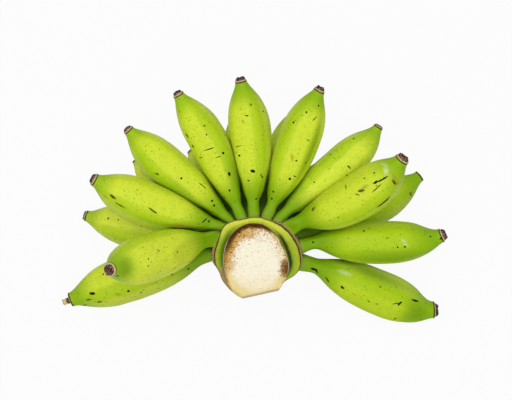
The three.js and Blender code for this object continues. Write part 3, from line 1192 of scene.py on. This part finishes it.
@dataclass(frozen=True)
class DriedFinish:
    """Dried flower remains: a tan ring with a dark edge, round a dark crusty heart."""

    heart: str = "3a2218"
    crumb: str = "b4947e"
    ring: str = "d2b88a"
    edge: str = "2a1c10"
    stub: str = "dccb84"
    gloss: float = 0.2

    def material(self) -> bpy.types.Material:
        """Mixes the finish, which all the flower ends share.

        Returns:
            The material.
        """
        shader = Shader("dried_flower")
        place = shader.attribute("made")
        outward = shader.attribute("outward", "Fac")
        height = shader.parts(place)[2]
        crumbs = shader.noise(place, 1.0, 3.0, 0.7)
        coarse = shader.noise(place, 2.6) - 0.5
        on_ring = (outward + coarse * 0.16).rising(0.79, 0.84) * height.rising(1.9, 1.3)
        on_stub = shader.attribute("stub", "Fac") * (height + coarse).rising(7.6, 7.2)
        colour = shader.mix(crumbs.rising(0.54, 0.64), self.heart, self.crumb).coated(
            (coarse.rising(0.06, 0.18) * 0.5, self.crumb),
            (on_ring, shader.mix(crumbs.rising(0.5, 0.75) * 0.5, self.ring, self.crumb)),
            ((height + (crumbs - 0.5) * 0.8).rising(0.62, 0.42), self.edge),
            (on_stub, shader.mix(crumbs.rising(0.5, 0.8) * 0.4, self.stub, self.crumb)),
        )
        return shader.finish(colour, 0.9, self.gloss, shader.relief((crumbs, 0.6)))


# --- Stalk --------------------------------------------------------------------------------------


@dataclass
class Stalk:
    """The cut piece of stalk with the crown, the cushion round it that the fingers grow from.

    It is made round, with the wall of the stalk, the rim of the crown's flange and the foot of the
    corky band below that rim each at one radius, and then drawn out to its real outline. Swells
    give the height of a swelling in that outline, in millimetres, and the angles of its middle and
    its width or of its window. Angles run from the right over the back to the left, in degrees.
    """

    radius: float = 28.5
    rim_radius: float = 38.5
    crown_radius: float = 41.0
    crown_top: float = 11.5
    crown_bottom: float = -22.0
    top: float = 35.0
    bottom: float = -34.0
    half_width: float = 27.7
    half_depth: float = 34.4
    oval_turn: float = 7.0
    oval_place: tuple[float, float] = (-1.8, 1.0)
    wall_swells: tuple[tuple[float, ...], ...] = ((1.9, -6.0, 22.0), (1.3, -132.0, 20.0))
    rim_reach: float = 38.6
    rim_swells: tuple[tuple[float, ...], ...] = ((4.9, 130.0, 17.0), (1.4, 95.0, 15.0))
    rim_narrowing: float = 5.4
    cork_width: float = 0.7
    cork_swells: tuple[tuple[float, ...], ...] = (
        (2.5, 142.0, 166.0, 178.0, 190.0), (2.3, -6.0, 14.0, 52.0, 80.0),
        (1.0, 196.0, 206.0, 232.0, 252.0),
    )
    front_distance: float = 29.5
    front_slope: float = 4.0
    edge_distance: float = 66.5
    edge_slope: float = 50.0
    cut_turn: float = 12.5
    tuck_drop: float = 1.8
    tuck_softness: float = 0.5
    level: float = 0.9
    uneven: float = 2.5
    most_corners: int = 8
    crease: float = 40.0
    sides: int = 96

    def rings(self) -> list[Ring]:
        """The rings of the whole round piece.

        Returns:
            The rings, from the middle of its underside to that of its top.
        """
        r, rim, crown, low, high = (
            self.radius, self.rim_radius, self.crown_radius, self.crown_bottom, self.crown_top
        )
        return [
            Ring(0.5, self.bottom), Ring(r * 0.5, self.bottom), Ring(r * 0.95, self.bottom),
            Ring(r * 0.985, self.bottom + 0.3), Ring(r, self.bottom + 1.2),
            Ring(r, low - 8.0), Ring(r * 1.01, low - 4.0), Ring(r * 1.08, low - 2.0),
            Ring(crown - 4.0, low), Ring(crown - 0.8, low + 4.0), Ring(crown, low + 9.0),
            Ring(crown, 0.0), Ring(crown, high - 5.0), Ring(crown - 0.3, high - 2.6),
            Ring(crown - 1.2, high - 1.2), Ring(rim + 0.5, high - 0.2), Ring(rim + 0.1, high - 0.1),
            Ring(rim - 0.3, high + 0.7), Ring(rim - 1.2, high + 1.7), Ring(rim - 3.0, high + 2.3),
            Ring(rim - 5.0, high + 2.2), Ring(rim - 6.6, high + 2.6), Ring(r + 2.0, high + 4.4),
            Ring(r + 1.0, high + 7.4), Ring(r + 0.4, high + 12.0), Ring(r + 0.1, self.top - 6.0),
            Ring(r, self.top - 1.4), Ring(r, self.top - 0.4), Ring(r - 0.1, self.top - 0.05),
            Ring(r - 0.5, self.top), Ring(r * 0.85, self.top), Ring(r * 0.6, self.top),
            Ring(r * 0.3, self.top), Ring(0.5, self.top),
        ]

    def outline(self, angle: np.ndarray) -> tuple[np.ndarray, np.ndarray, np.ndarray]:
        """The wall, the rim and the width of the corky band below the rim.

        The wall is an oval that is turned and stands off the crown's axis. The rim narrows at the
        left and runs out into the wall in front.

        Args:
            angle: Angles round the crown's axis, in radians.

        Returns:
            The wall's and the rim's distance from the axis, and the band's width, at each angle.
        """
        turn = math.radians(self.oval_turn)
        along_x, along_y = np.cos(angle - turn), np.sin(angle - turn)
        x, y = self.oval_place
        centre_x = x * math.cos(turn) + y * math.sin(turn)
        centre_y = y * math.cos(turn) - x * math.sin(turn)
        wide, deep = self.half_width**2, self.half_depth**2
        a = along_x**2 / wide + along_y**2 / deep
        b = along_x * centre_x / wide + along_y * centre_y / deep
        c = centre_x**2 / wide + centre_y**2 / deep - 1.0
        turned = np.degrees(angle)
        wall = (b + np.sqrt(b * b - a * c)) / a
        wall += sum(rise * hump(turned, *place) for rise, *place in self.wall_swells)
        degrees = np.where(turned < -90.0, turned + 360.0, turned)
        rim = self.rim_reach - self.rim_narrowing * eased(degrees, 160.0, 215.0)
        rim += sum(rise * hump(degrees, *place) for rise, *place in self.rim_swells)
        runs_out = (1.0 - eased(degrees, -42.0, -4.0)) + eased(degrees, 234.0, 262.0)
        rim += (wall + 0.6 - rim) * runs_out
        swells = sum(rise * window(degrees, *place) for rise, *place in self.cork_swells)
        return wall, rim, self.cork_width + swells

    def tuck(self, points: np.ndarray) -> np.ndarray:
        """Keeps what grows on the crown below the flange's rim, so that the rim runs over it.

        Args:
            points: The corners of what grows on the crown.

        Returns:
            The corners, with those that stood too high let down softly.
        """
        reach, angle = polar(points)
        _, rim, band = self.outline(angle)
        beyond = np.maximum(reach - rim - band, 0.0)
        ceiling = self.crown_top - self.tuck_drop + 0.45 * beyond + 0.03 * beyond**2
        excess = np.clip((points[:, 2] - ceiling) / self.tuck_softness, -20.0, 20.0)
        lowered = points.copy()
        lowered[:, 2] -= self.tuck_softness * np.log1p(np.exp(excess))
        return lowered

    def shape(self, points: np.ndarray) -> np.ndarray:
        """Draws the round piece out to its real outline, with soft lumps.

        Args:
            points: The round piece's corners.

        Returns:
            The shaped piece's corners.
        """
        reach, angle = polar(points)
        wall, rim, band = self.outline(angle)
        flange = (reach - self.radius) / (self.rim_radius - self.radius)
        cork = (reach - self.rim_radius) / (self.crown_radius - self.rim_radius)
        shaped = np.minimum(reach / self.radius, 1.0) * wall
        shaped += np.clip(flange, 0.0, 1.0) * (rim - wall) + np.maximum(cork, 0.0) * band
        shaped += 0.5 * lumps(points, 12.0, 3.0) * eased(reach, 8.0, 24.0)
        shaped += 0.22 * lumps(points, 3.5, 5.0) * eased(reach, 20.0, 28.0)
        height = points[:, 2] + 0.5 * lumps(points, 16.0, 9.0) + 0.15 * lumps(points, 4.0, 2.0)
        return np.stack([shaped * np.cos(angle), shaped * np.sin(angle), height], axis=1)

    def slice_off(self, distance: float, slope: float) -> None:
        """Takes off everything in front of one flat cut, in edit mode.

        Args:
            distance: The cut's distance from the crown's axis, half way up.
            slope: Its lean outwards towards the bottom, in degrees.
        """
        turn = Matrix.Rotation(math.radians(self.cut_turn), 3, "Z")
        lean = Matrix.Rotation(math.radians(-slope), 3, "X")
        outward = turn @ lean @ Vector((0.0, -1.0, 0.0))
        place = turn @ Vector((0.0, -distance, 0.0))
        bpy.ops.mesh.select_all(action="SELECT")
        bpy.ops.mesh.bisect(plane_co=place, plane_no=outward, use_fill=True, clear_outer=True)

    def build(self, skin: "StalkSkinFinish", flesh: "FleshFinish") -> None:
        """Models the stalk, with the knife cut down its front and the broken edge above that.

        Args:
            skin: The finish of the outside.
            flesh: The finish of the cut faces.
        """
        body = Body("stalk_and_crown", self.rings(), self.sides, levels=1)
        body.points = self.shape(body.points)
        bpy.ops.object.mode_set(mode="EDIT")
        self.slice_off(self.front_distance, self.front_slope)
        self.slice_off(self.edge_distance, self.edge_slope)
        bpy.ops.object.mode_set(mode="OBJECT")
        mesh = body.object.data
        mesh.materials.append(skin.material(self))
        mesh.materials.append(flesh.material(self))
        # Cut flesh is what lies level at either end, and the knife's large many-cornered faces.
        for face in mesh.polygons:
            rise, height = face.normal.z, face.center.z
            top = rise > self.level and height > self.top - self.uneven
            bottom = rise < -self.level and height < self.bottom + self.uneven
            front = len(face.vertices) > self.most_corners
            face.material_index = int(top or bottom or front)
        body.set_down("stalk", "stalk")
        bpy.ops.object.shade_smooth_by_angle(angle=math.radians(self.crease))


Sector = tuple[float, float, float, float]


@dataclass(frozen=True)
class StalkSkinFinish:
    """The stalk's skin: a light flange with fine fibres, a brown rim line and a corky band, with
    painted shade on the flange next to the wall and in the groove.

    Sectors are angles round the stalk, in degrees from the back over the left side.
    """

    flange: str = "e2e650"
    side: str = "aec22c"
    wall: str = "5c7c08"
    shade: str = "1e2808"
    rim: str = "452b10"
    cork: str = "cca676"
    crust: str = "6e4a2a"
    base: str = "7ca006"
    sunny: Sector = (-75.0, -20.0, 35.0, 70.0)
    right: Sector = (-150.0, -110.0, -45.0, -20.0)
    left: Sector = (20.0, 60.0, 130.0, 160.0)
    deepest: Sector = (-115.0, -90.0, -50.0, -28.0)
    old: Sector = (90.0, 108.0, 156.0, 168.0)
    gloss: float = 0.15

    def material(self, stalk: Stalk) -> bpy.types.Material:
        """The skin of the stalk.

        Args:
            stalk: The piece that wears it.

        Returns:
            The material.
        """
        shader = Shader("stalk_skin")
        wall, rim, crown = stalk.radius, stalk.rim_radius, stalk.crown_top
        made = shader.attribute("made")
        x, y, height = shader.parts(made)
        reach, turned = shader.reach(x, y), shader.bearing(x, y)
        around = shader.vector("NORMALIZE", {0: shader.stretched(made, (1.0, 1.0, 0.0))})
        rounded, outwards = shader.stretched(around, (rim,) * 3), shader.stretched(made, (0.1,) * 3)
        fibres = shader.noise(shader.vector("ADD", {0: rounded, 1: outwards}), 1.1, 3.0, 0.6)
        mottle = shader.noise(made, 4.0, 4.0, 0.65)
        crumbs = shader.noise(made, 1.0, 3.0, 0.7)
        edge = reach + (shader.noise(made, 5.0, 3.0) - 0.5) * 0.9

        sunny = turned.between(*self.sunny) * 0.7 + mottle * 0.5
        # The left and right sides, where the flange is painted in shade towards the wall.
        left = turned.between(*self.left)
        shaded_flanks = turned.between(*self.right).larger(left)
        groove = edge.rising(wall + 4.2, wall + 2.2) * height.rising(crown + 12.0, crown + 6.0)
        browned = (height + (mottle - 0.5) * 5.0).rising(stalk.top - 2.6, stalk.top - 0.6)
        outside = edge.rising(rim + 0.1, rim + 0.5)
        corky = shader.mix(crumbs.rising(0.45, 0.60), self.cork, self.crust)
        low = (height + (mottle - 0.5) * 3.0).rising(crown - 3.5, crown - 6.0)
        on_rim = edge.between(rim - 0.8, rim - 0.4, rim + 0.5, rim + 0.9)
        old = turned.between(*self.old) * reach.rising(wall + 0.4, wall + 2.0)
        colour = shader.mix(sunny.rising(0.2, 0.9), self.side, self.flange).coated(
            (fibres.rising(0.5, 0.75) * 0.3, self.wall),
            # The wall's own dark green, which runs out over the flange as painted shade next to the
            # wall on both sides and across the left side.
            (edge.rising(wall + 6.0, wall + 1.5) * shaded_flanks * 0.9, self.wall),
            (left * edge.rising(rim, wall) * 0.85, self.wall),
            (groove * turned.between(*self.deepest) * 0.9, self.shade),
            (browned * 0.85, self.crust),
            (outside, corky),
            (low, self.base),
            (on_rim * height.rising(crown - 3.0, crown - 2.0) * 0.92, self.rim),
            (old * 0.9, corky),
        )
        relief = shader.relief((fibres, 0.3), (crumbs, 0.3))
        return shader.finish(colour, 0.55 + outside * 0.3, self.gloss, relief)


@dataclass(frozen=True)
class FleshFinish:
    """Cut stalk: cream flesh with fine brown dots, browned by the air round its edge.

    Sectors are angles round the stalk, in degrees from the back over the left side.
    """

    cream: str = "fbf3dc"
    butter: str = "ebd898"
    tan: str = "cea044"
    rust: str = "93641a"
    brown: str = "5f3c14"
    dark: str = "301c10"
    rind: str = "a8a28e"
    dust: str = "b08a48"
    split: str = "b9a584"
    golden: Sector = (-20.0, 20.0, 82.0, 116.0)
    upper: Sector = (-85.0, -55.0, 90.0, 116.0)
    front_right: Sector = (-180.0, -179.0, -150.0, -140.0)
    back: Sector = (-32.0, -14.0, 54.0, 78.0)
    rim: Sector = (-90.0, -60.0, 90.0, 110.0)
    rind_right: Sector = (-118.0, -100.0, -70.0, -56.0)
    rind_left: Sector = (44.0, 58.0, 108.0, 122.0)
    bruise_place: tuple[float, float] = (27.0, -4.5)
    bruise_size: tuple[float, float] = (5.0, 8.0)
    gloss: float = 0.1

    def material(self, stalk: Stalk) -> bpy.types.Material:
        """The flesh of the cut faces.

        Args:
            stalk: The piece that wears it.

        Returns:
            The material.
        """
        shader = Shader("stalk_flesh")
        made = shader.attribute("made")
        x, y, height = shader.parts(made)
        turned = shader.bearing(x, y)
        level = height.rising(stalk.top - 0.5, stalk.top - 0.1)
        level = level.larger(height.rising(stalk.bottom + 0.6, stalk.bottom + 0.2))
        broad = shader.noise(made, 7.0, 5.0, 0.68) - 0.5
        patchy = shader.noise(made, 2.6, 4.0, 0.7) - 0.5
        grain = shader.noise(made, 1.2, 2.0, 0.6) - 0.5
        depth = (1.0 - shader.reach(x, y) / stalk.radius) * stalk.radius + (1.0 - level) * 9.0
        loose = depth + broad * 14.0 + patchy * 7.0
        tight = depth + broad * 5.0 + patchy * 3.0
        frayed = tight + grain * 4.0

        low = (0.0 - y / stalk.radius + broad).rising(-0.1, 1.1) * 0.7
        near = (depth + broad * 12.0).rising(10.0, 1.0) * 0.8
        faint = shader.noise(made, 1.6, 3.0, 0.7).rising(0.52, 0.68)
        golden, upper = turned.between(*self.golden), turned.between(*self.upper)
        flecks = (grain - (loose + 1.0) * 0.008).rising(-0.02, 0.03) * loose.rising(16.0, 8.0)
        dark_flecks = (patchy * 0.6 + grain - loose * 0.012).rising(0.0, 0.05)
        front = turned.between(*self.front_right).larger(turned.rising(88.0, 100.0))
        back, rim = turned.between(*self.back), turned.between(*self.rim)
        bruise_x, bruise_y = (
            (value - middle) / size
            for value, middle, size in zip((x, y), self.bruise_place, self.bruise_size)
        )
        off = shader.reach(bruise_x, bruise_y) + broad * 1.6 + patchy * 0.8
        sides = turned.between(*self.rind_right).larger(turned.between(*self.rind_left))
        skin = level * sides * (depth + patchy * 0.5).rising(0.85, 0.6)
        colour = shader.mix((low + near).rising(0.0, 1.0), self.cream, self.butter).coated(
            (shader.dots(made, 1.9, 0.5, 0.6) * 0.7, self.dust),
            (faint * 0.25, self.dust),
            (golden * loose.rising(12.0, 5.0) * 0.9, self.tan),
            (golden * loose.rising(4.5, 2.5) * 0.35, self.rust),
            (upper * flecks * (golden * 0.15 + 0.65), self.rust),
            (golden * dark_flecks * 0.45, self.brown),
            (front * tight.rising(3.0, 1.6) * 0.6, self.tan),
            (front * tight.rising(1.3, 0.5) * 0.8, self.rust),
            (back * frayed.rising(3.9, 3.0) * 0.9, self.brown),
            (back * frayed.rising(3.0, 1.8) * 0.9, self.dark),
            (rim * frayed.rising(1.6, 0.8) * 0.8, self.brown),
            ((grain * 3.0 + 1.35 - off).rising(-0.1, 0.2) * 0.8, self.rust),
            ((off + grain * 3.5).rising(1.0, 0.7) * 0.9, self.brown),
            ((1.0 - level) * 0.85, self.split),
            (skin, self.rind),
        )
        relief = shader.relief((grain + 0.5, 0.4), (broad + 0.5, 0.9))
        return shader.finish(colour, 0.85, self.gloss, relief)


# --- Studio -------------------------------------------------------------------------------------


@dataclass(frozen=True)
class Studio:
    """A white table under soft light, and the camera that looks down on the hand."""

    camera_distance: float = 1000.0
    aim: tuple[float, float] = (-0.9, 55.3)
    sensor: float = 36.0
    field_width: float = 460.8
    floor_size: float = 6.0
    floor_colour: tuple[float, float, float, float] = (0.7, 0.7, 0.7, 1.0)
    floor_glow: float = 0.93
    sky_strength: float = 0.50
    key_place: tuple[float, float, float] = (-0.1, -0.25, 1.5)
    key_target: tuple[float, float, float] = (0.0, 0.0, 0.05)
    key_power: float = 16.0
    key_size: float = 1.8

    def placed(self, data: bpy.types.ID) -> bpy.types.Object:
        """A camera or a lamp, put into the scene.

        Args:
            data: Its data, whose name it takes.

        Returns:
            Its object.
        """
        thing = bpy.data.objects.new(data.name, data)
        bpy.context.scene.collection.objects.link(thing)
        return thing

    def add_camera(self) -> None:
        """Sets the camera over the hand, square to the stalk's cut face."""
        data = bpy.data.cameras.new("camera")
        data.sensor_width = self.sensor
        data.lens = self.sensor * self.camera_distance / self.field_width
        camera = self.placed(data)
        place = HAND_TO_FRAME @ Vector((*self.aim, self.camera_distance))
        camera.matrix_world = Matrix.Translation(place) @ Matrix.Rotation(LEAN, 4, "X")
        bpy.context.scene.camera = camera

    def hang_lamp(self) -> None:
        """Hangs one large soft lamp high over the hand."""
        data = bpy.data.lights.new("key", "AREA")
        data.shape = "SQUARE"
        data.size = self.key_size
        data.energy = self.key_power
        lamp = self.placed(data)
        lamp.location = self.key_place
        towards = Vector(self.key_target) - Vector(self.key_place)
        lamp.rotation_euler = towards.to_track_quat("-Z", "Y").to_euler()

    def seen(self, shader: Shader) -> Value:
        """1 for what the camera sees, straight or in a reflection, and 0 for diffuse light."""
        path = shader.node("ShaderNodeLightPath", {}, {}, "Is Camera Ray")
        return path.larger(path.beside("Is Glossy Ray")).larger(path.beside("Is Transmission Ray"))

    def light_sky(self) -> None:
        """Makes the pale sky, which looks white and lights the hand more softly."""
        bpy.context.scene.world = bpy.data.worlds.new("sky")
        shader = Shader("sky", bpy.context.scene.world)
        strength = self.seen(shader) * (1.0 - self.sky_strength) + self.sky_strength
        inputs = {"Color": WHITE, "Strength": strength}
        shader.end(shader.node("ShaderNodeBackground", {}, inputs), "ShaderNodeOutputWorld")

    def lay_floor(self) -> None:
        """Lays the white table top, which keeps a soft shadow."""
        bpy.ops.object.select_all(action="DESELECT")
        bpy.ops.mesh.primitive_plane_add(size=self.floor_size, location=(0.0, 0.0, 0.0))
        floor = bpy.context.active_object
        floor.name = "table_top"
        shader = Shader("white_table")
        matt = shader.node("ShaderNodeBsdfDiffuse", {}, {"Color": self.floor_colour})
        glow = shader.node("ShaderNodeEmission", {}, {"Color": WHITE, "Strength": 1.0})
        share = self.seen(shader) * self.floor_glow
        both = shader.node("ShaderNodeMixShader", {}, {0: share, 1: matt, 2: glow})
        floor.data.materials.append(shader.end(both))

    def set_up(self) -> None:
        """Sets up the camera, the lights, the floor and plain colour management."""
        bpy.context.scene.view_settings.view_transform = "Standard"
        self.add_camera()
        self.light_sky()
        self.hang_lamp()
        self.lay_floor()


# --- Assembly -----------------------------------------------------------------------------------


def main() -> None:
    """Builds the whole hand in order."""
    logging.basicConfig(level=logging.INFO, format="%(name)s: %(message)s")
    Studio().set_up()
    stalk = Stalk()
    stalk.build(StalkSkinFinish(), FleshFinish())
    fingers = [Finger(number, growth) for number, growth in enumerate(GROWTHS, start=1)]
    peel, dried = PeelFinish(), DriedFinish().material()
    for finger in fingers:
        finger.build(stalk, [other for other in fingers if other is not finger], peel)
        FlowerEnd(finger).build(dried)
    bpy.context.view_layer.update()


if __name__ == "__main__":
    main()
